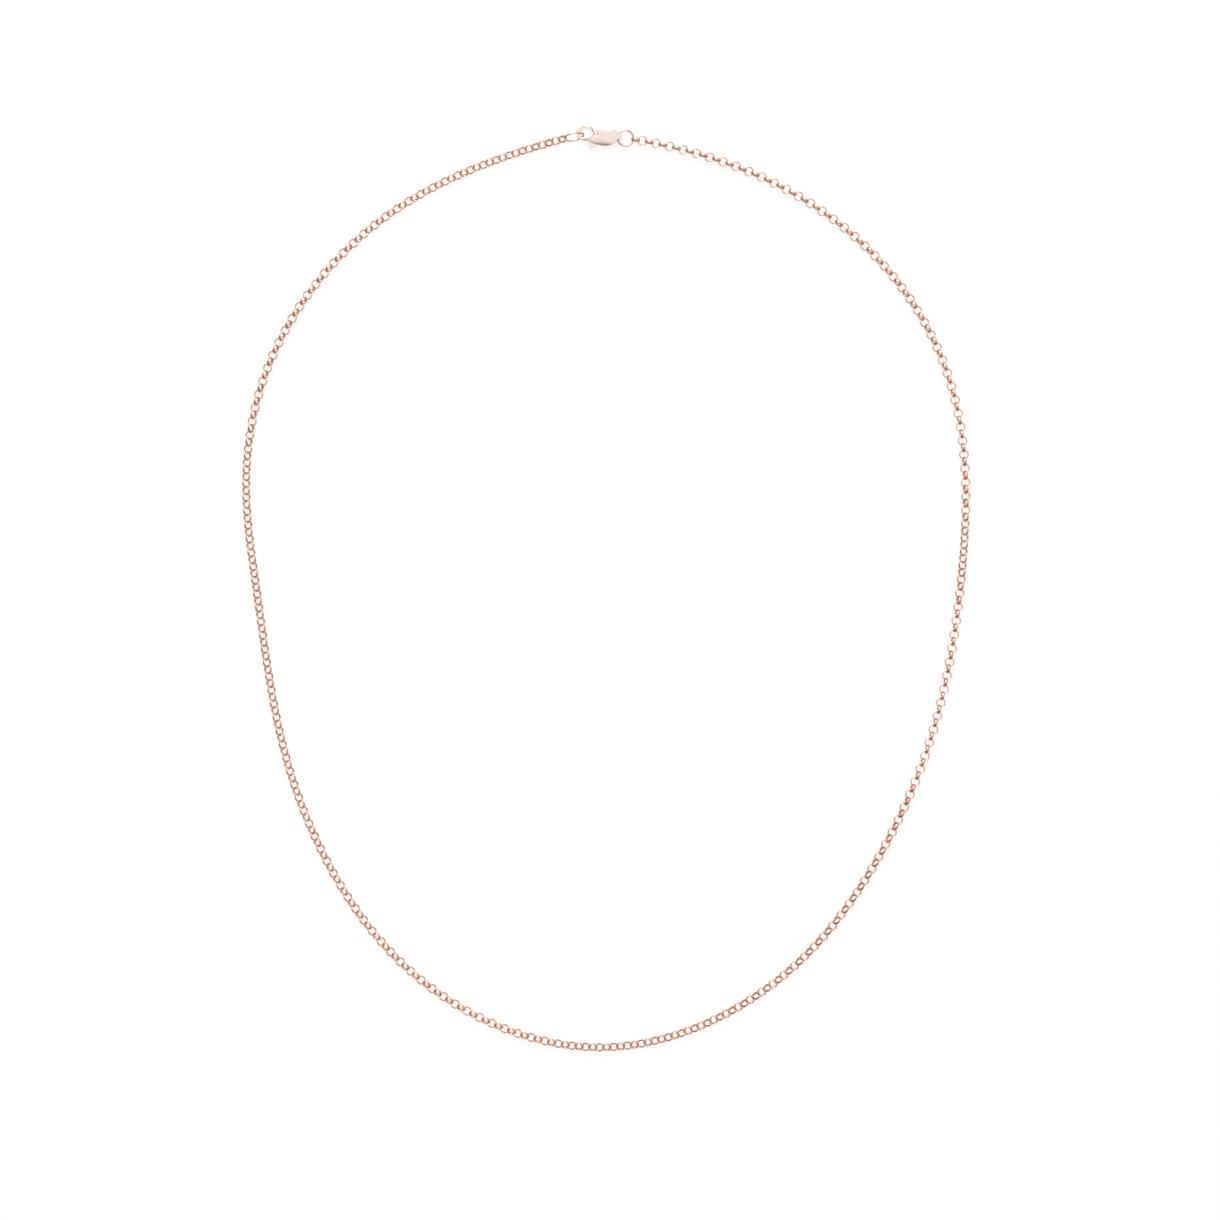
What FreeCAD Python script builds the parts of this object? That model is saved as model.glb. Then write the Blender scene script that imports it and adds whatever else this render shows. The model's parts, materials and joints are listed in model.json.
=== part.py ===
import FreeCAD, Part
import math
import os
import Sketcher

Vector = FreeCAD.Vector

# Named sizes in millimetres, degrees or counts.  Every one can be changed by itself.
SIZES = [
    # round belcher links
    ("link_outer_diameter", 1.73),
    ("link_wire_thickness", 0.24),
    ("link_wire_width", 0.54),
    ("link_play", 0.036),
    ("floor_play", 0.005),
    ("links_per_segment", 7),
    ("segments_per_side", 25),
    ("front_links", 12),
    # jump ring between the chain and the clasp
    ("jump_ring_diameter", 3.1),
    ("jump_ring_wire", 0.37),
    ("jump_ring_heading", -9),
    # oval end ring that the claw hooks
    ("end_ring_length", 3.72),
    ("end_ring_width", 2.16),
    ("end_ring_wire", 0.33),
    ("end_ring_tilt", 50),
    ("end_ring_heading", 192),
    ("end_ring_seat", 0.25),
    ("end_ring_drop", 0.13),
    ("end_ring_play", 0.08),
    ("ring_play", 0.05),
    ("tail_play", 0.2),
    # lobster claw
    ("clasp_nose", 3.97),
    ("clasp_tail", 3.97),
    ("clasp_half_width", 1.74),
    ("claw_half_width", 1.5),
    ("clasp_thickness", 1.7),
    ("nose_thickness", 0.38),
    ("hook_wall", 0.77),
    ("gate_wall", 0.6),
    ("body_front", 1.24),
    ("mouth_front", 2.72),
    ("mouth_play", 0.05),
    ("tongue_width", 1.0),
    ("tongue_thickness", 1.16),
    ("tail_wall", 0.34),
    ("tail_hole", 0.8),
    ("clasp_x", -1.15),
    ("clasp_y", 79.2),
    ("clasp_heading", -5),
    # lever, its pivot and its spring
    ("lever_thickness", 0.6),
    ("slot_play", 0.05),
    ("pivot_x", -0.55),
    ("pivot_y", 0.1),
    ("pin_diameter", 0.5),
    ("pin_play", 0.03),
    ("pin_inset", 0.03),
    ("lever_web", 0.34),
    ("recess_radius", 1.0),
    ("spring_strip", 0.14),
    ("spring_width", 0.18),
    ("spring_leg", 0.5),
]

# The way the chain lies, from the end ring round the front to the jump ring.
LAY = [
    (-20.0, 74.6), (-37.9, 65.4), (-51.8, 51.7), (-60.4, 34.7), (-62.8, 16.7), (-61.0, -0.2),
    (-58.7, -16.0), (-55.1, -32.0), (-48.2, -48.5), (-36.9, -64.1), (-20.2, -75.7), (0.0, -80.0),
    (19.9, -74.7), (36.1, -62.7), (47.2, -47.5), (54.7, -31.8), (59.3, -16.1), (61.8, -0.2),
    (62.8, 16.7), (60.5, 34.7), (52.1, 52.0), (38.1, 65.7), (20.1, 74.7),
]

# How far the chain is rolled about its own line, in degrees, at parts of its length.
ROLL = [
    (0.0, 45), (0.05, 32), (0.12, 18), (0.165, 20), (0.21, 44), (0.31, 46), (0.37, 52),
    (0.44, 60), (0.5, 47), (0.56, 34), (0.63, 26), (0.69, 6), (0.735, 8), (0.765, 42),
    (0.785, 20), (0.81, 4), (0.87, 20), (0.93, 5), (1.0, 0),
]


def make_sheet(doc):
    """Write the named sizes into a spreadsheet, one alias each."""
    sheet = doc.addObject("Spreadsheet::Sheet", "Sizes")
    for row, (name, value) in enumerate(SIZES, start=1):
        sheet.set("A%d" % row, name)
        sheet.set("B%d" % row, "%g" % value)
        sheet.setAlias("B%d" % row, name)
    doc.recompute()
    return sheet


def read_sizes(sheet):
    """Return the sheet's values by name."""
    return {name: float(sheet.get(name)) for name, value in SIZES}


def heading(angle):
    """Return the level unit vector at an angle from +X."""
    turn = math.radians(angle)
    return Vector(math.cos(turn), math.sin(turn), 0)


def link_inner_radius(size):
    return size["link_outer_diameter"] / 2 - size["link_wire_thickness"]


def link_ring_radius(size):
    return (size["link_outer_diameter"] - size["link_wire_thickness"]) / 2


def link_bite(size):
    """Return how far a wide wire stands off the round hole of its neighbour."""
    inner = link_inner_radius(size)
    half_width = size["link_wire_width"] / 2
    half_thick = size["link_wire_thickness"] / 2
    bite = 0.0
    for step in range(1, 60):
        across = half_width * step / 60
        hole_drop = inner - math.sqrt(max(inner ** 2 - across ** 2, 0))
        wire_drop = half_thick * (1 - math.sqrt(1 - (across / half_width) ** 2))
        bite = max(bite, hole_drop - wire_drop)
    return bite


def link_pitch(size):
    """Return the centre distance of two linked rings."""
    return 2 * link_inner_radius(size) - size["link_play"] - link_bite(size)


def rest_height(size, roll):
    """Return the height at which a ring rolled by an angle just stands on the table."""
    ring = link_ring_radius(size)
    half_width = size["link_wire_width"] / 2
    half_thick = size["link_wire_thickness"] / 2
    heights = []
    for turn in (math.radians(roll), math.radians(roll + 90)):
        wire = math.hypot(half_thick * math.sin(turn), half_width * math.cos(turn))
        heights.append(ring * abs(math.sin(turn)) + wire)
    return max(heights) + size["floor_play"]


def roll_at(part):
    """Return the chain's roll at a part of its length, eased between the stations."""
    for (start, first), (end, last) in zip(ROLL, ROLL[1:]):
        if part <= end:
            ease = (1 - math.cos(math.pi * (part - start) / (end - start))) / 2
            return first + (last - first) * ease
    return ROLL[-1][1]


def layout(size, scale):
    """Return the places of the clasp, its rings and the chain's two end links."""
    centre = Vector(size["clasp_x"], size["clasp_y"] * scale, ring_height(size))
    turn = FreeCAD.Rotation(Vector(0, 0, 1), size["clasp_heading"])
    tail_x = size["clasp_tail"] - size["tail_wall"] - size["jump_ring_wire"] / 2
    tail_wire = centre + turn.multVec(Vector(tail_x - size["tail_play"], 0, 0))
    jump_way = heading(size["jump_ring_heading"])
    jump_ring = (size["jump_ring_diameter"] - size["jump_ring_wire"]) / 2
    jump_centre = tail_wire + jump_way * jump_ring
    reach = jump_ring - size["jump_ring_wire"] / 2 - size["ring_play"] + link_inner_radius(size)
    seat_x = size["hook_wall"] - size["clasp_nose"] + size["end_ring_seat"]
    seat_x += size["end_ring_wire"] / 2
    seat_wire = centre + turn.multVec(Vector(seat_x, -size["end_ring_drop"], 0))
    end_way = heading(size["end_ring_heading"])
    end_ring = (size["end_ring_length"] - size["end_ring_wire"]) / 2
    end_centre = seat_wire + end_way * end_ring
    stretch = end_ring - size["end_ring_wire"] / 2 - size["end_ring_play"]
    stretch += link_inner_radius(size)
    return {
        "clasp": centre,
        "turn": turn,
        "tail_wire": tail_wire,
        "jump": jump_centre,
        "last_link": jump_centre + jump_way * reach,
        "last_contact": jump_centre + jump_way * jump_ring,
        "seat_wire": seat_wire,
        "end": end_centre,
        "first_link": end_centre + end_way * stretch,
        "first_contact": end_centre + end_way * end_ring,
    }


def ring_height(size):
    """Return the height of the clasp and its rings above the table."""
    return max(size["clasp_thickness"] / 2, size["link_outer_diameter"] / 2) + size["floor_play"]


def lay_curve(size, scale):
    """Return the curve the chain lies on, drawn between its two end links."""
    place = layout(size, scale)
    points = [Vector(place["first_link"].x, place["first_link"].y, 0)]
    points += [Vector(x * scale, y * scale, 0) for x, y in LAY]
    points.append(Vector(place["last_link"].x, place["last_link"].y, 0))
    curve = Part.BSplineCurve()
    curve.interpolate(points)
    return curve


def link_count(size):
    arms = 2 * size["segments_per_side"] * size["links_per_segment"]
    return int(round(arms + size["front_links"]))


def solve_scale(size):
    """Return the scale at which the curve is as long as the chain."""
    wanted = link_pitch(size) * (link_count(size) - 1)
    scale = 1.0
    for step in range(12):
        scale *= wanted / lay_curve(size, scale).length()
    return scale


def link_frames(size):
    """Return each link's centre, line and across directions, in order along the chain."""
    scale = solve_scale(size)
    curve = lay_curve(size, scale)
    count = link_count(size)
    pitch = curve.length() / (count - 1)
    lift = ring_height(size) - rest_height(size, roll_at(0))
    frames = []
    for index in range(count):
        at = curve.parameterAtDistance(pitch * index, curve.FirstParameter)
        spot = curve.value(at)
        along = Vector(*curve.tangent(at)[0])
        side = Vector(0, 0, 1).cross(along)
        roll = roll_at(index / (count - 1))
        turn = math.radians(roll + 90 * (index % 2))
        across = side * math.cos(turn) + Vector(0, 0, 1) * math.sin(turn)
        ease = max(0.0, 1 - index / 8) ** 2
        spot.z = rest_height(size, roll) + lift * ease
        frames.append((spot, along, across))
    return frames


def link_placement(frame):
    """Return the placement that lays the level master link into a frame."""
    spot, along, across = frame
    axis = along.cross(across)
    matrix = FreeCAD.Matrix(
        along.x, across.x, axis.x, spot.x,
        along.y, across.y, axis.y, spot.y,
        along.z, across.z, axis.z, spot.z,
        0, 0, 0, 1)
    return FreeCAD.Placement(matrix)


def segment_links(size):
    """Return the link numbers of every chain segment, by name."""
    per = int(size["links_per_segment"])
    sides = int(size["segments_per_side"])
    front = int(size["front_links"])
    start = per * sides
    groups = {"chain_front": list(range(start, start + front))}
    for number in range(1, sides + 1):
        right = start + front + per * (number - 1)
        left = start - per * number
        groups["chain_right_%02d" % number] = list(range(right, right + per))
        groups["chain_left_%02d" % number] = list(range(left, left + per))
    return groups


def plane(body, role):
    """Return one of the body's own origin planes."""
    return [item for item in body.Origin.OriginFeatures if item.Role == role][0]


def sketch_on(body, role, name, offset=0.0):
    """Add a sketch on an origin plane, moved along the plane's normal."""
    sketch = body.newObject("Sketcher::SketchObject", name)
    sketch.AttachmentSupport = [(plane(body, role), "")]
    sketch.MapMode = "FlatFace"
    sketch.AttachmentOffset = FreeCAD.Placement(Vector(0, 0, offset), FreeCAD.Rotation())
    return sketch


def add_loop(sketch, pieces):
    """Draw a closed loop; a piece of two points is a line and a longer one a smooth curve."""
    for points in pieces:
        ends = [Vector(x, y, 0) for x, y in points]
        if len(ends) == 2:
            sketch.addGeometry(Part.LineSegment(ends[0], ends[1]), False)
        else:
            curve = Part.BSplineCurve()
            curve.interpolate(ends)
            sketch.addGeometry(curve, False)


def add_circle(sketch, x, y, radius):
    """Draw a circle and return its number in the sketch."""
    circle = Part.Circle(Vector(x, y, 0), Vector(0, 0, 1), radius)
    return sketch.addGeometry(circle, False)


def bind_circle(sketch, number, diameter):
    """Tie a circle's diameter to the sheet."""
    sketch.addConstraint(Sketcher.Constraint("Diameter", number, 1.0))
    index = len(sketch.Constraints) - 1
    sketch.setExpression("Constraints[%d]" % index, diameter)


def pad(body, sketch, name, length):
    """Pad a sketch evenly to both sides of its plane by a length from the sheet."""
    feature = body.newObject("PartDesign::Pad", name)
    feature.Profile = sketch
    feature.SideType = "Symmetric"
    feature.setExpression("Length", length)
    return feature


def pocket(body, sketch, name, length):
    """Cut a sketch evenly to both sides of its plane by a length from the sheet."""
    feature = body.newObject("PartDesign::Pocket", name)
    feature.Profile = sketch
    feature.SideType = "Symmetric"
    feature.setExpression("Length", length)
    return feature


def mirror(points):
    """Return points mirrored across the sketch's first axis."""
    return [(x, -y) for x, y in points]


def make_link(doc, size):
    """Model the master link: a ring of flat oval wire, lying level about the origin."""
    body = doc.addObject("PartDesign::Body", "LinkPattern")
    sketch = sketch_on(body, "XZ_Plane", "LinkSection")
    ring = link_ring_radius(size)
    wide = size["link_wire_width"] / 2
    thick = size["link_wire_thickness"] / 2
    section = Part.Ellipse(Vector(ring, wide, 0), Vector(ring + thick, 0, 0), Vector(ring, 0, 0))
    sketch.addGeometry(section, False)
    turn = body.newObject("PartDesign::Revolution", "LinkTurn")
    turn.Profile = sketch
    turn.ReferenceAxis = (sketch, ["V_Axis"])
    turn.Angle = 360
    return body


def make_segment(doc, name, link, frames):
    """Add one chain segment: loose linked rings, placed about the segment's first ring."""
    anchor = frames[0][0]
    rings = []
    for frame in frames:
        ring = link.copy()
        ring.Placement = link_placement((frame[0] - anchor, frame[1], frame[2]))
        rings.append(ring)
    segment = doc.addObject("Part::Feature", name)
    segment.Shape = Part.makeCompound(rings)
    segment.Placement = FreeCAD.Placement(anchor, FreeCAD.Rotation())
    segment.Label = name
    return segment


def make_jump_ring(doc, place):
    """Add the round jump ring, lying level through the tail of the clasp."""
    ring = doc.addObject("Part::Torus", "jump_ring")
    ring.setExpression("Radius1", "(Sizes.jump_ring_diameter - Sizes.jump_ring_wire) / 2")
    ring.setExpression("Radius2", "Sizes.jump_ring_wire / 2")
    ring.Placement = FreeCAD.Placement(place["jump"], FreeCAD.Rotation())
    ring.Label = "jump_ring"
    return ring


def make_end_ring(doc, size, place):
    """Add the oval end ring, hooked in the claw and rolled about its own length."""
    body = doc.addObject("PartDesign::Body", "end_ring")
    half_length = (size["end_ring_length"] - size["end_ring_wire"]) / 2
    half_width = (size["end_ring_width"] - size["end_ring_wire"]) / 2
    path = sketch_on(body, "XY_Plane", "EndRingPath")
    oval = Part.Ellipse(Vector(half_length, 0, 0), Vector(0, half_width, 0), Vector(0, 0, 0))
    path.addGeometry(oval, False)
    section = sketch_on(body, "XZ_Plane", "EndRingSection")
    number = add_circle(section, half_length, 0, size["end_ring_wire"] / 2)
    bind_circle(section, number, "Sizes.end_ring_wire")
    pipe = body.newObject("PartDesign::AdditivePipe", "EndRingPipe")
    pipe.Profile = section
    pipe.Spine = (path, ["Edge1"])
    along = heading(size["end_ring_heading"])
    tilt = math.radians(180 - size["end_ring_tilt"])
    side = Vector(0, 0, 1).cross(along)
    across = side * math.cos(tilt) + Vector(0, 0, 1) * math.sin(tilt)
    body.Placement = link_placement((place["end"], along, across))
    body.Label = "end_ring"
    return body


def claw_outline(size):
    """Return the outer outline of the claw, its body and its tail tongue."""
    nose = -size["clasp_nose"]
    tail = size["clasp_tail"]
    wide = size["clasp_half_width"]
    claw = size["claw_half_width"]
    tongue = size["tongue_width"] / 2
    neck = tail - 0.72
    top = [
        (neck, tongue), (neck - 0.4, 0.62 * wide), (neck - 1.2, 0.9 * wide), (1.1, 0.985 * wide),
        (0.0, 0.965 * wide), (-1.0, 0.9 * wide), (-1.8, 0.93 * claw), (-2.5, claw),
        (nose + 0.65, 0.82 * claw), (nose + 0.16, 0.46 * claw), (nose, 0.02),
    ]
    bottom = [
        (nose, 0.02), (nose + 0.14, -0.36 * claw), (nose + 0.62, -0.68 * claw),
        (-2.6, -0.8 * claw), (-1.5, -0.84 * claw), (-0.7, -0.88 * wide), (0.2, -0.985 * wide),
        (1.17, -1.02 * wide), (neck - 1.2, -0.93 * wide), (neck - 0.4, -0.64 * wide),
        (neck, -tongue),
    ]
    tip = [(neck, -tongue), (tail - 0.3, -tongue), (tail, 0), (tail - 0.3, tongue), (neck, tongue)]
    return [top, bottom, tip[0:2], tip[1:4], tip[3:5]]


def gate_reach(size):
    """Return how far the gate's tip is from the pivot."""
    across = size["claw_half_width"] - 0.1 - size["pivot_y"]
    return math.hypot(size["mouth_front"] + size["pivot_x"], across)


def mouth_x(size, y):
    """Return where the hook's tip faces the swinging gate, at a height in the claw."""
    reach = gate_reach(size) + size["mouth_play"]
    return size["pivot_x"] - math.sqrt(reach ** 2 - (y - size["pivot_y"]) ** 2)


def claw_hole(size):
    """Return the loop that opens the claw's eye and its mouth under the gate."""
    inner = size["hook_wall"] - size["clasp_nose"]
    front = -size["body_front"]
    claw = size["claw_half_width"]
    gate = claw - size["gate_wall"]
    low = 0.8 * size["claw_half_width"] - size["hook_wall"] + 0.14
    over = claw + 0.5
    tip = mouth_x(size, claw + 0.1)
    middle = 0.5 * (gate + claw + 0.1)
    wall = [
        (mouth_x(size, gate), gate), (inner + 0.12, 0.62), (inner, 0.1), (inner + 0.03, -0.28),
        (inner + 0.2, -0.6), (inner + 0.62, -low - 0.15), (front - 0.35, -low + 0.03),
        (front, -0.15),
    ]
    face = [(front, -0.15), (front, 0.5), (front - 0.2, 1.0), (front - 0.5, over)]
    rim = [(front - 0.5, over), (tip, over)]
    lift = [(tip, over), (tip, claw + 0.1)]
    swing = [(tip, claw + 0.1), (mouth_x(size, middle), middle), wall[0]]
    return [wall, face, rim, lift, swing]


def lever_outline(size):
    """Return the lever's outline: gate arm, hub and thumb nub."""
    x = size["pivot_x"]
    y = size["pivot_y"]
    mouth = -size["mouth_front"]
    claw = size["claw_half_width"]
    gate = claw - size["gate_wall"]
    front = -size["body_front"]
    wide = size["clasp_half_width"]
    upper = [
        (mouth, claw - 0.1), (mouth + 0.5, claw - 0.08), (front - 0.5, claw - 0.16),
        (front, claw - 0.42), (x - 0.1, y + 0.62), (x + 0.45, y + 0.38), (x + 0.6, y),
        (x + 0.58, y - 0.6), (x + 0.62, y - 1.2), (x + 0.6, 0.1 - wide),
    ]
    thumb = [
        (x + 0.6, 0.1 - wide), (x + 0.1, -0.16 - wide), (x - 0.3, -0.45 - wide),
        (x - 0.62, -0.66 - wide), (x - 0.92, -0.52 - wide), (x - 1.04, -0.1 - wide),
        (x - 0.92, 0.35 - wide),
    ]
    lower = [
        (x - 0.92, 0.35 - wide), (x - 0.7, y - 0.9), (x - 0.58, y - 0.4), (x - 0.6, y + 0.05),
        (front - 0.1, gate - 0.34), (front - 0.55, gate - 0.08), (mouth + 0.5, gate + 0.04),
        (mouth - 0.08, gate + 0.02),
    ]
    return [upper, thumb, lower, [lower[-1], upper[0]]]


def slot_outline(size):
    """Return the loop of the slot in which the lever swings."""
    x = size["pivot_x"]
    y = size["pivot_y"]
    claw = size["claw_half_width"]
    gate = claw - size["gate_wall"]
    front = -size["body_front"]
    wide = size["clasp_half_width"]
    below = -wide - 0.9
    return [
        [(front - 0.9, gate - 0.35), (front - 0.9, claw + 0.2)],
        [(front - 0.9, claw + 0.2), (front - 0.1, claw - 0.08), (x, y + 0.86), (x + 0.75, y + 0.5)],
        [(x + 0.75, y + 0.5), (x + 0.85, y - 0.35)],
        [(x + 0.85, y - 0.35), (x + 1.65, below)],
        [(x + 1.65, below), (x - 1.14, below)],
        [(x - 1.14, below), (x - 1.14, 0.45 - wide)],
        [(x - 1.14, 0.45 - wide), (x - 0.74, y - 0.6)],
        [(x - 0.74, y - 0.6), (front - 0.9, gate - 0.35)],
    ]


def half_thickness(size):
    """Return the claw's half thickness at stations from nose to tail."""
    nose = -size["clasp_nose"]
    tail = size["clasp_tail"]
    full = size["clasp_thickness"] / 2
    thin = size["nose_thickness"] / 2
    end = size["tongue_thickness"] / 2
    return [
        (nose - 0.1, thin - 0.06), (nose + 1.0, thin), (nose + 1.9, 0.5 * (thin + full)),
        (-1.2, 0.95 * full), (0.2, full), (1.9, 0.97 * full), (tail - 0.9, end + 0.1),
        (tail + 0.1, end),
    ]


def make_clasp_body(doc, size, place):
    """Model the claw: domed body, fixed hook, lever slot, pin hole and tail hole."""
    body = doc.addObject("PartDesign::Body", "clasp_body")
    outline = sketch_on(body, "XY_Plane", "ClawOutline")
    add_loop(outline, claw_outline(size))
    pad(body, outline, "ClawBlank", "Sizes.clasp_thickness")
    length = sketch_on(body, "XZ_Plane", "ClawSide")
    line = half_thickness(size)
    top = 2 * size["clasp_thickness"]
    start = (line[0][0], top)
    end = (line[-1][0], top)
    above = [line, [line[-1], end], [end, start], [start, line[0]]]
    add_loop(length, above)
    add_loop(length, [mirror(points) for points in above])
    pocket(body, length, "ClawSideCut", "6 * Sizes.clasp_half_width")
    across = sketch_on(body, "YZ_Plane", "ClawSection")
    wide = size["clasp_half_width"] + 0.12
    full = size["clasp_thickness"] / 2
    dome = [
        (-wide, 0.42 * full), (-0.86 * wide, 0.72 * full), (-0.5 * wide, 0.94 * full),
        (0, full), (0.5 * wide, 0.94 * full), (0.86 * wide, 0.72 * full), (wide, 0.42 * full),
    ]
    start = (-wide, top)
    end = (wide, top)
    above = [dome, [dome[-1], end], [end, start], [start, dome[0]]]
    add_loop(across, above)
    add_loop(across, [mirror(points) for points in above])
    pocket(body, across, "ClawDomeCut", "4 * (Sizes.clasp_nose + Sizes.clasp_tail)")
    eye = sketch_on(body, "XY_Plane", "ClawEye")
    add_loop(eye, claw_hole(size))
    pocket(body, eye, "ClawEyeCut", "3 * Sizes.clasp_thickness")
    slot = sketch_on(body, "XY_Plane", "LeverSlot")
    add_loop(slot, slot_outline(size))
    pocket(body, slot, "LeverSlotCut", "Sizes.lever_thickness + 2 * Sizes.slot_play")
    hole = sketch_on(body, "XY_Plane", "PinHole")
    number = add_circle(hole, size["pivot_x"], size["pivot_y"], size["pin_diameter"] / 2)
    bind_circle(hole, number, "Sizes.pin_diameter + 2 * Sizes.pin_play")
    pocket(body, hole, "PinHoleCut", "3 * Sizes.clasp_thickness")
    tail = sketch_on(body, "XZ_Plane", "TailHole")
    hole_x = size["clasp_tail"] - size["tail_wall"] - size["tail_hole"] / 2
    number = add_circle(tail, hole_x, 0, size["tail_hole"] / 2)
    bind_circle(tail, number, "Sizes.tail_hole")
    pocket(body, tail, "TailHoleCut", "6 * Sizes.clasp_half_width")
    body.Placement = FreeCAD.Placement(place["clasp"], place["turn"])
    body.Label = "clasp_body"
    return body


def make_lever(doc, size, place):
    """Model the lever that closes the claw, thinned about its pivot for the spring."""
    body = doc.addObject("PartDesign::Body", "clasp_lever")
    outline = sketch_on(body, "XY_Plane", "LeverOutline")
    add_loop(outline, lever_outline(size))
    pad(body, outline, "LeverBlank", "Sizes.lever_thickness")
    recess = sketch_on(body, "XY_Plane", "LeverRecess", size["lever_web"])
    add_circle(recess, size["pivot_x"], size["pivot_y"], size["recess_radius"])
    pocket(body, recess, "LeverRecessCut", "Sizes.lever_thickness")
    hole = sketch_on(body, "XY_Plane", "LeverHole")
    number = add_circle(hole, size["pivot_x"], size["pivot_y"], size["pin_diameter"] / 2)
    bind_circle(hole, number, "Sizes.pin_diameter + 2 * Sizes.pin_play")
    pocket(body, hole, "LeverHoleCut", "3 * Sizes.clasp_thickness")
    body.Placement = FreeCAD.Placement(place["clasp"], place["turn"])
    body.Label = "clasp_lever"
    return body


def make_rivet(doc, size, place):
    """Add the pivot pin of the lever."""
    pin = doc.addObject("Part::Cylinder", "clasp_rivet")
    pin.setExpression("Radius", "Sizes.pin_diameter / 2")
    pin.setExpression("Height", "Sizes.clasp_thickness - 2 * Sizes.pin_inset")
    sink = size["pin_inset"] - size["clasp_thickness"] / 2
    spot = Vector(size["pivot_x"], size["pivot_y"], sink)
    pin.Placement = FreeCAD.Placement(place["clasp"] + place["turn"].multVec(spot), place["turn"])
    pin.Label = "clasp_rivet"
    return pin


def make_spring(doc, size, place):
    """Model the bent strip spring that sits round the pin beside the lever's web."""
    body = doc.addObject("PartDesign::Body", "clasp_spring")
    inner = size["pin_diameter"] / 2 + size["pin_play"] + 0.05
    outer = inner + size["spring_strip"]
    web_top = size["lever_web"] - size["lever_thickness"] / 2
    middle = web_top + size["slot_play"] + size["spring_width"] / 2

    leg = size["spring_leg"]

    def spot(angle, radius, reach):
        turn = math.radians(angle)
        out = math.radians(120 if angle < 270 else 60)
        x = size["pivot_x"] + radius * math.cos(turn) + reach * math.cos(out)
        y = size["pivot_y"] + radius * math.sin(turn) + reach * math.sin(out)
        return (x, y)

    sketch = sketch_on(body, "XY_Plane", "SpringOutline", middle)
    outer_arc = [spot(angle, outer, 0) for angle in (210, 240, 270, 300, 330)]
    inner_arc = [spot(angle, inner, 0) for angle in (330, 300, 270, 240, 210)]
    left_out = spot(210, outer, leg)
    right_out = spot(330, outer, leg)
    right_in = spot(330, inner, leg)
    left_in = spot(210, inner, leg)
    add_loop(sketch, [
        [left_out, outer_arc[0]], outer_arc, [outer_arc[-1], right_out], [right_out, right_in],
        [right_in, inner_arc[0]], inner_arc, [inner_arc[-1], left_in], [left_in, left_out],
    ])
    pad(body, sketch, "SpringStrip", "Sizes.spring_width")
    body.Placement = FreeCAD.Placement(place["clasp"], place["turn"])
    body.Label = "clasp_spring"
    return body


def check(items):
    """Stop if any object failed or holds no valid shape."""
    for item in items:
        if "Invalid" in item.State or "Error" in item.State:
            raise RuntimeError("%s did not recompute" % item.Label)
        if item.Shape.isNull() or not item.Shape.isValid():
            raise RuntimeError("%s has no valid shape" % item.Label)


def build():
    """Build the necklace and write one STEP file for each sub-part."""
    os.makedirs("parts", exist_ok=True)
    doc = FreeCAD.newDocument("Necklace")
    sheet = make_sheet(doc)
    size = read_sizes(sheet)
    place = layout(size, solve_scale(size))
    frames = link_frames(size)
    link = make_link(doc, size)
    doc.recompute()
    nodes = []
    for name, numbers in segment_links(size).items():
        nodes.append(make_segment(doc, name, link.Shape, [frames[i] for i in numbers]))
    nodes.append(make_jump_ring(doc, place))
    nodes.append(make_end_ring(doc, size, place))
    nodes.append(make_clasp_body(doc, size, place))
    nodes.append(make_lever(doc, size, place))
    nodes.append(make_rivet(doc, size, place))
    nodes.append(make_spring(doc, size, place))
    doc.recompute()
    check(nodes + [link])
    for node in nodes:
        node.Shape.exportStep("parts/%s.step" % node.Label)
    return doc


build()
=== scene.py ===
"""Rose gold belcher chain necklace with a lobster claw, laid out on a white table."""

import json
import logging
import math
from dataclasses import dataclass
from enum import Enum

import bpy
import numpy as np
from mathutils import Matrix, Vector


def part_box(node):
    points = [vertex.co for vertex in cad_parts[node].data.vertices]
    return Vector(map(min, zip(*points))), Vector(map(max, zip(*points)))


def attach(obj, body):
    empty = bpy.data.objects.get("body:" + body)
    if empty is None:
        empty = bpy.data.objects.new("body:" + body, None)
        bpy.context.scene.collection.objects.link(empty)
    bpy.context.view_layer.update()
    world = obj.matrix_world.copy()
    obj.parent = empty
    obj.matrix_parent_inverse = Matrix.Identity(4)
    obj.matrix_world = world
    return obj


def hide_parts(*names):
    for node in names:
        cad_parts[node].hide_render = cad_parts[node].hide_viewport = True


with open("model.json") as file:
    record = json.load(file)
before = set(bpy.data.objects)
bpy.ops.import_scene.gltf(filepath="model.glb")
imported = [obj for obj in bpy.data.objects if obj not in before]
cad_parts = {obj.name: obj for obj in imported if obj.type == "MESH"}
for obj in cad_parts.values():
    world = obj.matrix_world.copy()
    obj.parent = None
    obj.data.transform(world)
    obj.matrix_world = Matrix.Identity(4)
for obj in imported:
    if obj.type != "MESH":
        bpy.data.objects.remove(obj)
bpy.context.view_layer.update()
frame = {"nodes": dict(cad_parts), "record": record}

MM = 0.001
LOG = logging.getLogger("necklace")
RECORD = frame["record"]
BODY_OF = {node: body for body, nodes in RECORD["behaviour"]["bodies"].items() for node in nodes}


class Wear(Enum):
    """How far the shine of a metal surface has gone: the share of its marks that shows."""

    FRESH = 0.35
    HANDLED = 1.0


def linear(code: str) -> tuple[float, float, float, float]:
    """Turn an sRGB hex colour into a linear one.

    Args:
        code: Six hex digits after a hash sign.

    Returns:
        Linear red, green and blue, and an alpha of one.
    """
    parts = [int(code[i : i + 2], 16) / 255 for i in (1, 3, 5)]
    bent = [c / 12.92 if c <= 0.04045 else ((c + 0.055) / 1.055) ** 2.4 for c in parts]
    return (bent[0], bent[1], bent[2], 1.0)


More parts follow.
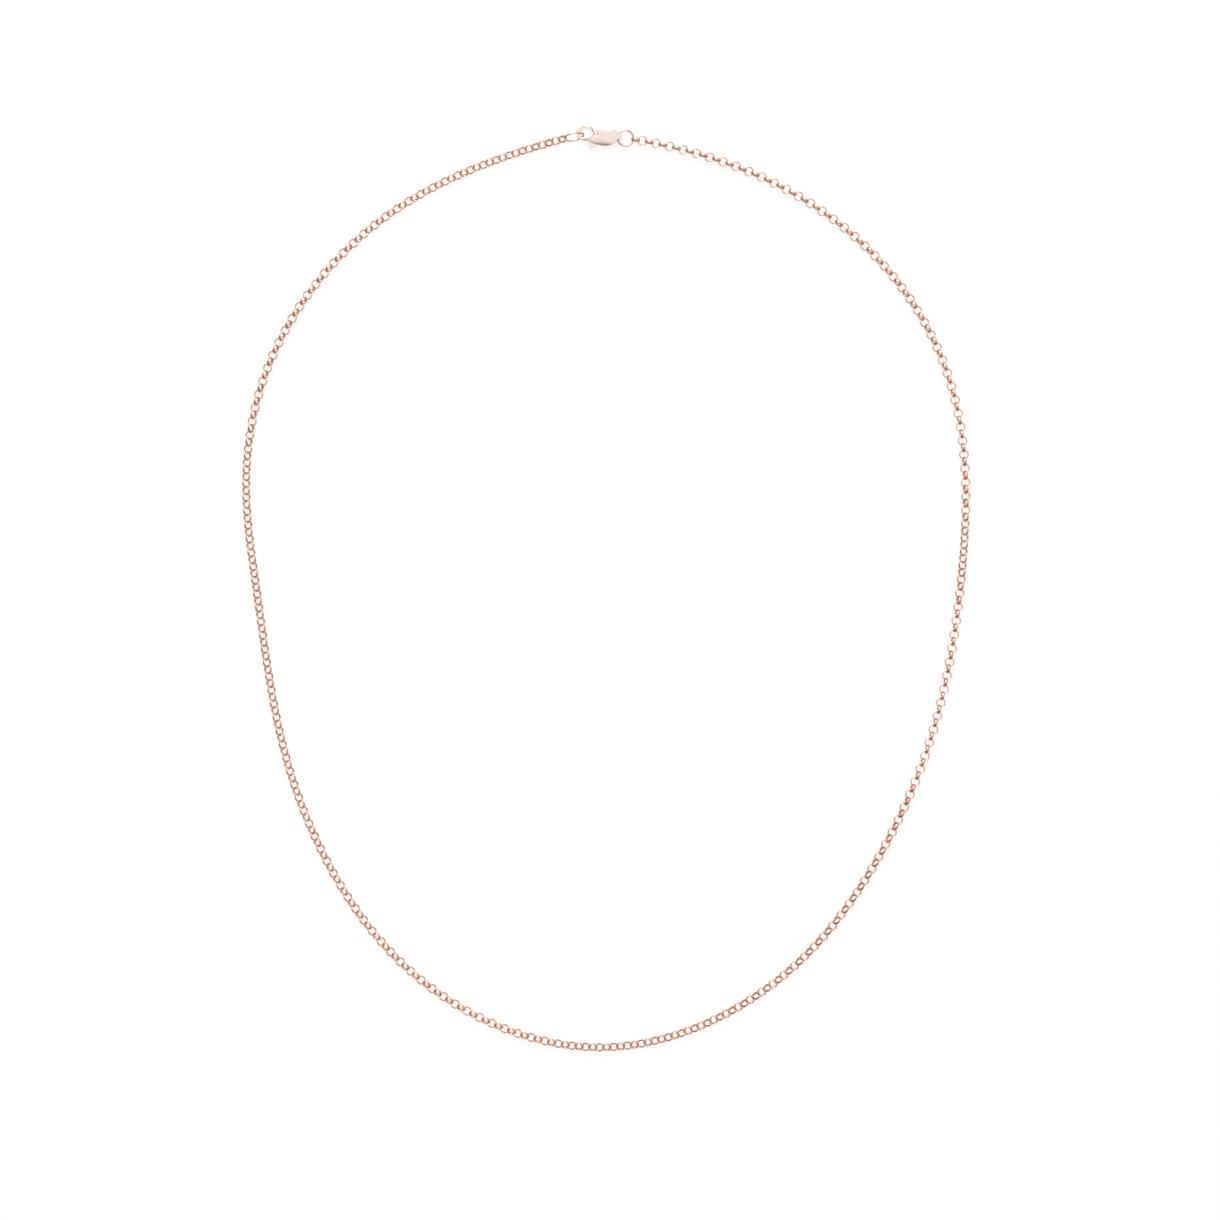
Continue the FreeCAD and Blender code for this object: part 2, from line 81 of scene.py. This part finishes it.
def add_node(tree: bpy.types.NodeTree, kind: str, settings: dict, links: dict) -> bpy.types.Node:
    """Add a node with its settings, its unlinked values and its links.

    Args:
        tree: The node tree to add to.
        kind: The node's Blender type.
        settings: Node properties by name, and values of input sockets by name or number.
        links: Output sockets to join to this node's inputs, by input name or number.

    Returns:
        The new node.
    """
    node = tree.nodes.new(kind)
    for name, value in settings.items():
        if isinstance(name, int) or name in node.inputs:
            node.inputs[name].default_value = value
        else:
            setattr(node, name, value)
    for name, socket in links.items():
        tree.links.new(socket, node.inputs[name])
    return node


@dataclass(frozen=True)
class RoseGold:
    """A polished rose gold surface.

    Nine carat rose gold is mostly copper and silver, so it reflects a warm pink. Where one
    bright wall reflects another, the colour deepens to salmon and then to a red brown.
    The material also paints that deepening into the colour: where ambient occlusion finds a
    nook between links or parts, the colour is darkened toward the deep colour as painted shade
    and painted reflection. The same deep colour is also mixed in at random as a cloudy tone.
    """

    name: str
    colour: str
    # The deep colour serves as a random cloudy tone, and also as the painted shade and painted reflection in
    # the nooks.
    deep_tone_and_painted_shade: str
    roughness: float
    mark_mm: float
    mark_depth_mm: float
    stretch: tuple[float, float, float]
    wear: Wear
    cloud_mm: float = 3.0
    # How far the ambient occlusion reaches when it paints shade into the nooks.
    painted_shade_reach_mm: float = 0.35

    def material(self) -> bpy.types.Material:
        """Build the node material of this surface.

        Returns:
            The new material.
        """
        made = bpy.data.materials.new(self.name)
        made.use_nodes = True
        tree = made.node_tree
        tree.nodes.clear()
        place = add_node(tree, "ShaderNodeTexCoord", {}, {}).outputs["Object"]
        cloud = add_node(
            tree, "ShaderNodeTexNoise", {"Scale": 1 / (self.cloud_mm * MM), "Detail": 2.0}, {"Vector": place}
        )
        # Painted shade and painted reflection: the colour is darkened toward the deep colour where ambient
        # occlusion finds a nook between links or parts.
        painted_shade_occlusion = add_node(
            tree, "ShaderNodeAmbientOcclusion", {"samples": 6, "Distance": self.painted_shade_reach_mm * MM}, {}
        )
        depth = add_node(
            tree,
            "ShaderNodeMapRange",
            {"From Min": 0.25, "From Max": 0.85, "To Min": 1.0, "To Max": 0.0},
            {"Value": painted_shade_occlusion.outputs["AO"]},
        )
        tint = add_node(
            tree,
            "ShaderNodeMapRange",
            {"From Min": 0.35, "From Max": 0.7, "To Min": 0.0, "To Max": 0.22},
            {"Value": cloud.outputs["Fac"]},
        )
        # The stronger of the painted shade in the nooks and the random cloudy tone sets how far the colour
        # moves toward the deep colour.
        tone_and_painted_shade = add_node(
            tree,
            "ShaderNodeMath",
            {"operation": "MAXIMUM"},
            {0: depth.outputs["Result"], 1: tint.outputs["Result"]},
        )
        hue_with_painted_shade = add_node(
            tree,
            "ShaderNodeMix",
            {"data_type": "RGBA", 6: linear(self.colour), 7: linear(self.deep_tone_and_painted_shade)},
            {0: tone_and_painted_shade.outputs["Value"]},
        )
        long_way = add_node(
            tree, "ShaderNodeMapping", {"Scale": self.stretch}, {"Vector": place}
        )
        marks = add_node(
            tree,
            "ShaderNodeTexNoise",
            {"Scale": 1 / (self.mark_mm * MM), "Detail": 3.0, "Roughness": 0.6},
            {"Vector": long_way.outputs["Vector"]},
        )
        bump = add_node(
            tree,
            "ShaderNodeBump",
            {"Strength": self.wear.value, "Distance": self.mark_depth_mm * MM},
            {"Height": marks.outputs["Fac"]},
        )
        shine = add_node(
            tree,
            "ShaderNodeMapRange",
            {
                "From Min": 0.3,
                "From Max": 0.7,
                "To Min": self.roughness * 0.8,
                "To Max": self.roughness * (1 + 0.4 * self.wear.value),
            },
            {"Value": marks.outputs["Fac"]},
        )
        shader = add_node(
            tree,
            "ShaderNodeBsdfPrincipled",
            {"Metallic": 1.0},
            {
                "Base Color": hue_with_painted_shade.outputs[2],
                "Roughness": shine.outputs["Result"],
                "Normal": bump.outputs["Normal"],
            },
        )
        add_node(
            tree, "ShaderNodeOutputMaterial", {}, {"Surface": shader.outputs["BSDF"]}
        )
        return made


@dataclass(frozen=True)
class SpringSteel:
    """Bright rolled strip steel: fine lines along the strip and a cool grey shine."""

    name: str = "spring_steel_rolled"
    colour: str = "#B9B6B1"
    line_mm: float = 0.03

    def material(self) -> bpy.types.Material:
        """Build the node material of the strip.

        Returns:
            The new material.
        """
        made = bpy.data.materials.new(self.name)
        made.use_nodes = True
        tree = made.node_tree
        tree.nodes.clear()
        place = add_node(tree, "ShaderNodeTexCoord", {}, {}).outputs["Object"]
        flat = add_node(tree, "ShaderNodeMapping", {"Scale": (0.1, 0.1, 1.0)}, {"Vector": place})
        lines = add_node(
            tree,
            "ShaderNodeTexNoise",
            {"Scale": 1 / (self.line_mm * MM), "Detail": 2.0},
            {"Vector": flat.outputs["Vector"]},
        )
        shine = add_node(
            tree,
            "ShaderNodeMapRange",
            {"To Min": 0.2, "To Max": 0.4},
            {"Value": lines.outputs["Fac"]},
        )
        shader = add_node(
            tree,
            "ShaderNodeBsdfPrincipled",
            {"Metallic": 1.0, "Base Color": linear(self.colour)},
            {"Roughness": shine.outputs["Result"]},
        )
        add_node(
            tree, "ShaderNodeOutputMaterial", {}, {"Surface": shader.outputs["BSDF"]}
        )
        return made


# Drawn oval wire, tumbled bright in a barrel: the balls leave soft dents, which break up the
# reflections. They are drawn 0.16 mm apart, coarser than the real ones, so that they show.
CHAIN_WIRE = RoseGold(
    name="rose_gold_tumbled_wire",
    colour="#EEC4AF",
    deep_tone_and_painted_shade="#B87458",
    roughness=0.16,
    mark_mm=0.16,
    mark_depth_mm=0.004,
    stretch=(1.0, 1.0, 1.0),
    wear=Wear.HANDLED,
)
# Drawn round wire, bent and closed by hand: smoother than the chain, so its reflections are
# sharper. Its draw marks are drawn coarser than the real ones.
RING_WIRE = RoseGold(
    name="rose_gold_drawn_wire",
    colour="#EDC9B4",
    deep_tone_and_painted_shade="#B97A5C",
    roughness=0.13,
    mark_mm=0.12,
    mark_depth_mm=0.002,
    stretch=(1.0, 1.0, 1.0),
    wear=Wear.FRESH,
)
# Cast and polished on a felt wheel along its length, with faint long wheel lines, drawn
# 0.14 mm apart so that they show. It is paler than the chain: partly the cast gold's own paler
# tone, partly a painted highlight that stands in for the bright light on the claw.
CAST_CLAW = RoseGold(
    name="rose_gold_cast_polished",
    colour="#FBE9E0",
    deep_tone_and_painted_shade="#D08F72",
    roughness=0.17,
    mark_mm=0.14,
    mark_depth_mm=0.002,
    stretch=(0.18, 1.0, 1.0),
    wear=Wear.FRESH,
)
# Stamped from sheet and tumbled: flat faces with soft dents, a little duller than the claw.
STAMPED_LEVER = RoseGold(
    name="rose_gold_stamped_sheet",
    colour="#FAE7DD",
    deep_tone_and_painted_shade="#C48468",
    roughness=0.19,
    mark_mm=0.1,
    mark_depth_mm=0.002,
    stretch=(1.0, 1.0, 1.0),
    wear=Wear.HANDLED,
)
# Drawn pin, cut and filed nearly flush: its ends are duller than the claw and carry short file
# marks, drawn coarser than the real ones.
FILED_PIN = RoseGold(
    name="rose_gold_filed_pin",
    colour="#F6DDD0",
    deep_tone_and_painted_shade="#C98C70",
    roughness=0.22,
    mark_mm=0.05,
    mark_depth_mm=0.002,
    stretch=(0.3, 1.0, 1.0),
    wear=Wear.HANDLED,
)


def deselect() -> None:
    """Leave object mode with nothing selected."""
    if bpy.context.mode != "OBJECT":
        bpy.ops.object.mode_set(mode="OBJECT")
    bpy.ops.object.select_all(action="DESELECT")


def make_active(piece: bpy.types.Object) -> None:
    """Select one object alone and make it the active one.

    Args:
        piece: The object to select.
    """
    deselect()
    piece.select_set(True)
    bpy.context.view_layer.objects.active = piece


def apply_modifier(piece: bpy.types.Object, kind: str, settings: dict) -> None:
    """Add a modifier, set it and apply it.

    Args:
        piece: The object that takes it.
        kind: The modifier's Blender type.
        settings: The modifier's properties by name.
    """
    make_active(piece)
    modifier = piece.modifiers.new(kind.title(), kind)
    for name, value in settings.items():
        setattr(modifier, name, value)
    bpy.ops.object.modifier_apply(modifier=modifier.name)


def settle(piece: bpy.types.Object, place: Matrix) -> None:
    """Put an object's place into its mesh and leave the object at the origin.

    Args:
        piece: The mesh object.
        place: A move and turn that comes after the object's own.
    """
    piece.data.transform(place @ piece.matrix_world)
    piece.matrix_world = Matrix.Identity(4)


def finish_piece(piece: bpy.types.Object, node: str, metal: bpy.types.Material) -> None:
    """Dress a piece, tie it to its body and let it stand for its CAD node.

    Args:
        piece: The finished mesh object.
        node: The CAD node it replaces.
        metal: Its material.
    """
    piece.data.materials.clear()
    piece.data.materials.append(metal)
    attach(piece, BODY_OF[node])
    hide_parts(node)
    LOG.info("%s: %d faces on body %s", piece.name, len(piece.data.polygons), BODY_OF[node])


def islands(node: str) -> list[np.ndarray]:
    """Split a CAD node into the points of its separate solids.

    Args:
        node: The CAD node's name.

    Returns:
        One array of points for each solid, in metres.
    """
    mesh = frame["nodes"][node].data
    flat = np.empty(len(mesh.vertices) * 3, np.float32)
    mesh.vertices.foreach_get("co", flat)
    corners = np.empty(len(mesh.loops), np.int32)
    mesh.loops.foreach_get("vertex_index", corners)
    points, same = np.unique(flat.reshape(-1, 3), axis=0, return_inverse=True)
    faces = same.ravel()[corners].reshape(-1, 3)
    label = np.arange(len(points))
    while True:
        joined = label.copy()
        np.minimum.at(joined, faces.ravel(), np.repeat(label[faces].min(axis=1), 3))
        joined = joined[joined]
        if (joined == label).all():
            break
        label = joined
    return [points[label == value].astype(float) for value in np.unique(label)]


def ring_place(points: np.ndarray) -> Matrix:
    """Find how a ring lies.

    Args:
        points: Points of its surface, in metres.

    Returns:
        A matrix whose columns are the ring's long way, its short way and its axis, with its
        centre as the offset.
    """
    centre = (points.min(axis=0) + points.max(axis=0)) / 2
    ways = np.linalg.eigh(np.cov((points - centre).T))[1]
    axis, long_way = Vector(ways[:, 0]), Vector(ways[:, 2])
    short_way = axis.cross(long_way)
    place = Matrix((long_way, short_way, axis)).transposed().to_4x4()
    place.translation = Vector(centre)
    return place


@dataclass
class Studio:
    """The white table, the soft lights and the camera straight above."""

    camera_height_mm: float = 900.0
    view_width_mm: float = 213.5
    centre_x_mm: float = 0.7
    centre_y_mm: float = -3.67
    table_mm: float = 3000.0
    sensor_mm: float = 36.0
    bright_way: tuple[float, float, float] = (0.14, 0.38, 0.8)
    dim: float = 0.08
    bright: float = 1.0
    glow: float = 1.05
    glow_share: float = 0.8
    softbox_m: tuple[float, float, float] = (-0.15, 0.75, 0.8)
    softbox_side_m: float = 0.6
    softbox_watts: float = 6.0

    def table_top(self) -> bpy.types.Material:
        """Build the matt white of the table, which stays white to the eye and in the metal.

        Returns:
            The new material.
        """
        made = bpy.data.materials.new("matt_white_card")
        made.use_nodes = True
        tree = made.node_tree
        tree.nodes.clear()
        matt = add_node(tree, "ShaderNodeBsdfDiffuse", {"Color": linear("#F4F3F1")}, {})
        white = add_node(tree, "ShaderNodeEmission", {"Strength": self.glow}, {})
        path = add_node(tree, "ShaderNodeLightPath", {}, {})
        seen = add_node(
            tree,
            "ShaderNodeMath",
            {"operation": "MAXIMUM"},
            {0: path.outputs["Is Camera Ray"], 1: path.outputs["Is Glossy Ray"]},
        )
        through = add_node(
            tree,
            "ShaderNodeMath",
            {"operation": "MAXIMUM"},
            {0: seen.outputs["Value"], 1: path.outputs["Is Transmission Ray"]},
        )
        share = add_node(
            tree,
            "ShaderNodeMath",
            {"operation": "MULTIPLY", 1: self.glow_share},
            {0: through.outputs["Value"]},
        )
        mix = add_node(
            tree,
            "ShaderNodeMixShader",
            {},
            {0: share.outputs["Value"], 1: matt.outputs["BSDF"], 2: white.outputs["Emission"]},
        )
        add_node(tree, "ShaderNodeOutputMaterial", {}, {"Surface": mix.outputs["Shader"]})
        return made

    def build_table(self) -> None:
        """Lay the table's top at height zero."""
        deselect()
        bpy.ops.mesh.primitive_plane_add(size=self.table_mm * MM, location=(0, 0, 0))
        table = bpy.context.object
        table.name = "table_top"
        table.data.materials.append(self.table_top())

    def build_sky(self) -> None:
        """Build the room's light: bright overhead and behind, dim in front and low down."""
        world = bpy.data.worlds.new("studio_room")
        bpy.context.scene.world = world
        world.use_nodes = True
        tree = world.node_tree
        tree.nodes.clear()
        way = add_node(tree, "ShaderNodeTexCoord", {}, {})
        toward = add_node(
            tree,
            "ShaderNodeVectorMath",
            {"operation": "DOT_PRODUCT", 1: self.bright_way},
            {0: way.outputs["Generated"]},
        )
        level = add_node(
            tree,
            "ShaderNodeMapRange",
            {
                "interpolation_type": "SMOOTHSTEP",
                "From Min": -0.05,
                "From Max": 0.9,
                "To Min": self.dim,
                "To Max": self.bright,
            },
            {"Value": toward.outputs["Value"]},
        )
        back = add_node(
            tree,
            "ShaderNodeBackground",
            {"Color": linear("#FFFFFF")},
            {"Strength": level.outputs["Result"]},
        )
        add_node(tree, "ShaderNodeOutputWorld", {}, {"Surface": back.outputs["Background"]})

    def build_softbox(self) -> None:
        """Hang one square soft light behind the necklace, facing it."""
        light = bpy.data.lights.new("softbox_back", "AREA")
        light.size = self.softbox_side_m
        light.energy = self.softbox_watts
        lamp = bpy.data.objects.new("softbox_back", light)
        bpy.context.scene.collection.objects.link(lamp)
        place = Vector(self.softbox_m)
        lamp.location = place
        lamp.rotation_euler = (-place).to_track_quat("-Z", "Y").to_euler()

    def build_camera(self) -> None:
        """Put the camera straight above the middle of the necklace."""
        camera = bpy.data.cameras.new("overhead")
        camera.sensor_width = self.sensor_mm
        camera.lens = self.sensor_mm * self.camera_height_mm / self.view_width_mm
        camera.clip_end = 10
        eye = bpy.data.objects.new("overhead", camera)
        bpy.context.scene.collection.objects.link(eye)
        eye.location = (
            self.centre_x_mm * MM,
            self.centre_y_mm * MM,
            self.camera_height_mm * MM,
        )
        bpy.context.scene.camera = eye

    def build(self) -> None:
        """Set up the whole studio."""
        bpy.context.scene.view_settings.view_transform = "Standard"
        self.build_table()
        self.build_sky()
        self.build_softbox()
        self.build_camera()
        LOG.info("studio: table, room, softbox and overhead camera")


@dataclass
class BelcherChain:
    """The chain: round links of oval wire, each loose in its neighbours."""

    outer_mm: float = 1.73
    wire_thick_mm: float = 0.222
    wire_wide_mm: float = 0.51
    around: int = 12
    section: int = 6
    levels: int = 2

    def model_link(self) -> bpy.types.Object:
        """Model one link's cage about the origin; its smoothed surface has the real sizes."""
        ring_pull = (2 + math.cos(2 * math.pi / self.around)) / 3
        wire_pull = (2 + math.cos(2 * math.pi / self.section)) / 3
        thick = self.wire_thick_mm / 2 / wire_pull / ring_pull
        wide = self.wire_wide_mm / 2 / wire_pull
        deselect()
        bpy.ops.mesh.primitive_torus_add(
            major_segments=self.around,
            minor_segments=self.section,
            major_radius=(self.outer_mm - self.wire_thick_mm) / 2 / ring_pull * MM,
            minor_radius=thick * MM,
        )
        link = bpy.context.object
        link.name = "link_pattern"
        bpy.ops.object.mode_set(mode="EDIT")
        bpy.ops.mesh.select_all(action="SELECT")
        bpy.ops.transform.resize(value=(1, 1, wide / thick))
        bpy.ops.mesh.normals_make_consistent(inside=False)
        bpy.ops.object.mode_set(mode="OBJECT")
        bpy.ops.object.shade_smooth()
        return link

    def string_segment(self, node: str, link: bpy.types.Object) -> bpy.types.Object:
        """Copy the link to each place in a chain segment and join the copies.

        Args:
            node: The segment's CAD node.
            link: The link pattern.

        Returns:
            The segment's piece.
        """
        copies = []
        for points in islands(node):
            copy = link.copy()
            copy.data = link.data.copy()
            bpy.context.scene.collection.objects.link(copy)
            settle(copy, ring_place(points))
            copies.append(copy)
        make_active(copies[0])
        for copy in copies:
            copy.select_set(True)
        bpy.ops.object.join()
        piece = bpy.context.object
        piece.name = node.replace("chain", "links")
        smooth = piece.modifiers.new("smooth_wire", "SUBSURF")
        smooth.levels = self.levels
        smooth.render_levels = self.levels
        return piece

    def build(self) -> None:
        """Build every segment of the chain."""
        metal = CHAIN_WIRE.material()
        link = self.model_link()
        for node in sorted(BODY_OF):
            if node.startswith("chain_"):
                finish_piece(self.string_segment(node, link), node, metal)
        bpy.data.objects.remove(link)


@dataclass
class WireRing:
    """A ring bent from round wire, placed as its CAD node lies."""

    node: str
    long_mm: float
    short_mm: float
    wire_mm: float
    name: str

    def build(self, metal: bpy.types.Material) -> None:
        """Bend the wire along an oval and close it.

        Args:
            metal: The ring's material.
        """
        deselect()
        bpy.ops.curve.primitive_bezier_circle_add(radius=0.5 * MM)
        wire = bpy.context.object
        bpy.ops.object.mode_set(mode="EDIT")
        bpy.ops.curve.select_all(action="SELECT")
        bpy.ops.curve.subdivide(number_cuts=3)
        stretch = (self.long_mm - self.wire_mm, self.short_mm - self.wire_mm, 1)
        bpy.ops.transform.resize(value=stretch)
        bpy.ops.object.mode_set(mode="OBJECT")
        wire.data.bevel_depth = self.wire_mm / 2 * MM
        wire.data.bevel_resolution = 6
        wire.data.resolution_u = 8
        bpy.ops.object.convert(target="MESH")
        ring = bpy.context.object
        ring.name = self.name
        bpy.ops.object.mode_set(mode="EDIT")
        bpy.ops.mesh.select_all(action="SELECT")
        bpy.ops.mesh.remove_doubles(threshold=0.001 * MM)
        bpy.ops.mesh.normals_make_consistent(inside=False)
        bpy.ops.object.mode_set(mode="OBJECT")
        bpy.ops.object.shade_smooth()
        settle(ring, ring_place(islands(self.node)[0]))
        finish_piece(ring, self.node, metal)


@dataclass
class LobsterClaw:
    """The claw: a cast body with its hook, a stamped lever, a peened pin and a strip spring."""

    body_grain_mm: float = 0.04
    dome_rounds: int = 160
    dome_from_mm: float = -2.55
    front_rounds: int = 70
    front_low_mm: tuple[float, float] = (-2.9, 78.75)
    front_high_mm: tuple[float, float] = (-1.85, 81.1)
    lever_grain_mm: float = 0.022
    body_rounds: int = 14
    lever_rounds: int = 10
    pin_mm: float = 0.5
    pin_steps_mm: tuple[tuple[float, float], ...] = ((0.07, 0.018), (0.1, 0.012))

    def soften(self, node: str, name: str, grain_mm: float, rounds: int) -> bpy.types.Object:
        """Round off the edges of a CAD shape, as tumbling does.

        Args:
            node: The CAD node to start from.
            name: The piece's name.
            grain_mm: The size of the new mesh's faces.
            rounds: How often the surface is evened out.

        Returns:
            The softened piece.
        """
        piece = bpy.data.objects.new(name, frame["nodes"][node].data.copy())
        bpy.context.scene.collection.objects.link(piece)
        make_active(piece)
        bpy.ops.object.mode_set(mode="EDIT")
        bpy.ops.mesh.select_all(action="SELECT")
        bpy.ops.mesh.remove_doubles(threshold=0.0001 * MM)
        bpy.ops.object.mode_set(mode="OBJECT")
        apply_modifier(piece, "REMESH", {"mode": "VOXEL", "voxel_size": grain_mm * MM})
        apply_modifier(piece, "SMOOTH", {"factor": 0.5, "iterations": rounds})
        bpy.ops.object.shade_smooth()
        return piece

    def polish(self, body: bpy.types.Object) -> None:
        """Even out the two domes and round over the front edge, as a felt wheel does.

        Args:
            body: The softened claw body.
        """
        low, high = Vector(self.front_low_mm) * MM, Vector(self.front_high_mm) * MM

        def on_dome(point: bpy.types.MeshVertex) -> bool:
            """Tell whether a point lies on one of the two domes."""
            return abs(point.normal.z) > 0.8 and point.co.x > self.dome_from_mm * MM

        def at_front(point: bpy.types.MeshVertex) -> bool:
            """Tell whether a point lies by the mouth's back wall."""
            return low.x < point.co.x < high.x and low.y < point.co.y < high.y

        for chosen, rounds in ((on_dome, self.dome_rounds), (at_front, self.front_rounds)):
            make_active(body)
            bpy.ops.object.mode_set(mode="EDIT")
            bpy.ops.mesh.select_mode(type="VERT")
            bpy.ops.mesh.select_all(action="DESELECT")
            bpy.ops.object.mode_set(mode="OBJECT")
            for point in body.data.vertices:
                point.select = chosen(point)
            bpy.ops.object.mode_set(mode="EDIT")
            bpy.ops.mesh.vertices_smooth(factor=0.5, repeat=rounds)
            bpy.ops.object.mode_set(mode="OBJECT")

    def build_pin(self, metal: bpy.types.Material) -> None:
        """Turn the pin and dome its two ends.

        Args:
            metal: The pin's material.
        """
        low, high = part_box("clasp_rivet")
        deselect()
        bpy.ops.mesh.primitive_cylinder_add(
            vertices=48,
            radius=self.pin_mm / 2 * MM,
            depth=high.z - low.z,
            location=(low + high) / 2,
        )
        pin = bpy.context.object
        pin.name = "claw_pin"
        bpy.ops.object.mode_set(mode="EDIT")
        bpy.ops.mesh.select_mode(type="FACE")
        bpy.ops.mesh.select_all(action="DESELECT")
        bpy.ops.object.mode_set(mode="OBJECT")
        for face in pin.data.polygons:
            face.select = abs(face.normal.z) > 0.9
        bpy.ops.object.mode_set(mode="EDIT")
        for inwards, outwards in self.pin_steps_mm:
            bpy.ops.mesh.inset(thickness=inwards * MM, depth=outwards * MM)
        bpy.ops.object.mode_set(mode="OBJECT")
        bpy.ops.object.shade_smooth_by_angle(angle=math.radians(50))
        settle(pin, Matrix.Identity(4))
        finish_piece(pin, "clasp_rivet", metal)

    def build(self) -> None:
        """Build the claw's pieces and dress its spring."""
        body = self.soften("clasp_body", "claw_body", self.body_grain_mm, self.body_rounds)
        self.polish(body)
        finish_piece(body, "clasp_body", CAST_CLAW.material())
        lever = self.soften("clasp_lever", "claw_lever", self.lever_grain_mm, self.lever_rounds)
        finish_piece(lever, "clasp_lever", STAMPED_LEVER.material())
        self.build_pin(FILED_PIN.material())
        spring = frame["nodes"]["clasp_spring"]
        spring.data.materials.clear()
        spring.data.materials.append(SpringSteel().material())
        LOG.info("clasp_spring: dressed on body %s", BODY_OF["clasp_spring"])


def main() -> None:
    """Build the studio and every piece of the necklace, in order."""
    logging.basicConfig(level=logging.INFO, format="%(name)s %(message)s")
    Studio().build()
    BelcherChain().build()
    ring_metal = RING_WIRE.material()
    jump_ring = WireRing(
        "jump_ring", long_mm=3.1, short_mm=3.1, wire_mm=0.37, name="jump_ring_wire"
    )
    jump_ring.build(ring_metal)
    end_ring = WireRing("end_ring", long_mm=3.69, short_mm=2.13, wire_mm=0.3, name="end_ring_wire")
    end_ring.build(ring_metal)
    LobsterClaw().build()


if __name__ == "__main__":
    main()
